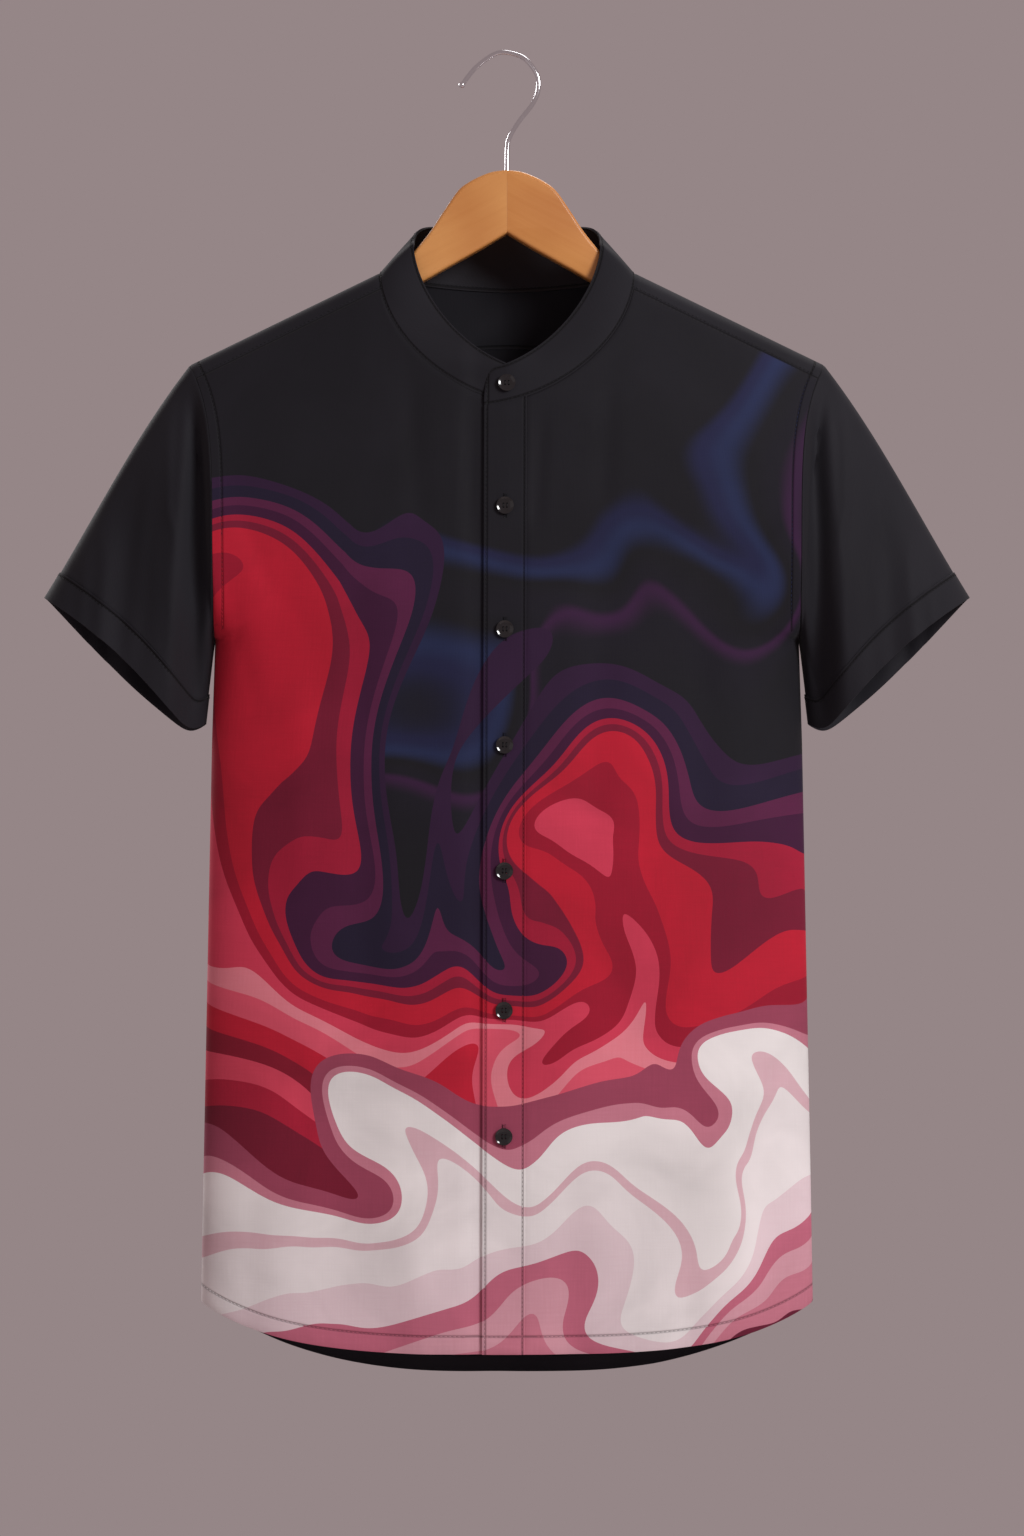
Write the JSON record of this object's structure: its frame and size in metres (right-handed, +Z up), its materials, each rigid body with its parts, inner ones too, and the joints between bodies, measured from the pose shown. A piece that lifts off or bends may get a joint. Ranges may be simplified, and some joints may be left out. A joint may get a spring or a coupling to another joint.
{
  "type": "mandarin collar shirt on a wooden hanger",
  "caption": "Short-sleeved button-front shirt with a stand-up band collar and curved hem, hanging on a flat wooden hanger with a steel hook.",
  "frame": {"origin": "inner top of the hanger's hook, where a rail carries it", "axes": "+Z up, -Y the way the wearer's front faces, +X the wearer's left"},
  "size_m": [0.6292, 0.1084, 0.9044],
  "materials": {
    "plain_cloth": "matt black woven shirting",
    "printed_cloth": "matt woven shirting with a printed design",
    "button_resin": "polished black resin",
    "hanger_wood": "clear satin lacquer",
    "hook_steel": "bright plated wire"
  },
  "bodies": {
    "root": {"collar": "plain_cloth", "yoke": "plain_cloth", "back": "plain_cloth", "front_left": "printed_cloth", "front_right": "printed_cloth", "placket": "printed_cloth", "sleeve_left": "plain_cloth", "sleeve_right": "plain_cloth", "cuff_left": "plain_cloth", "cuff_right": "plain_cloth", "button_1": "button_resin", "button_2": "button_resin", "button_3": "button_resin", "button_4": "button_resin", "button_5": "button_resin", "button_6": "button_resin", "button_7": "button_resin", "hanger_bar": "hanger_wood", "hanger_hook": "hook_steel"}
  },
  "joints": []
}
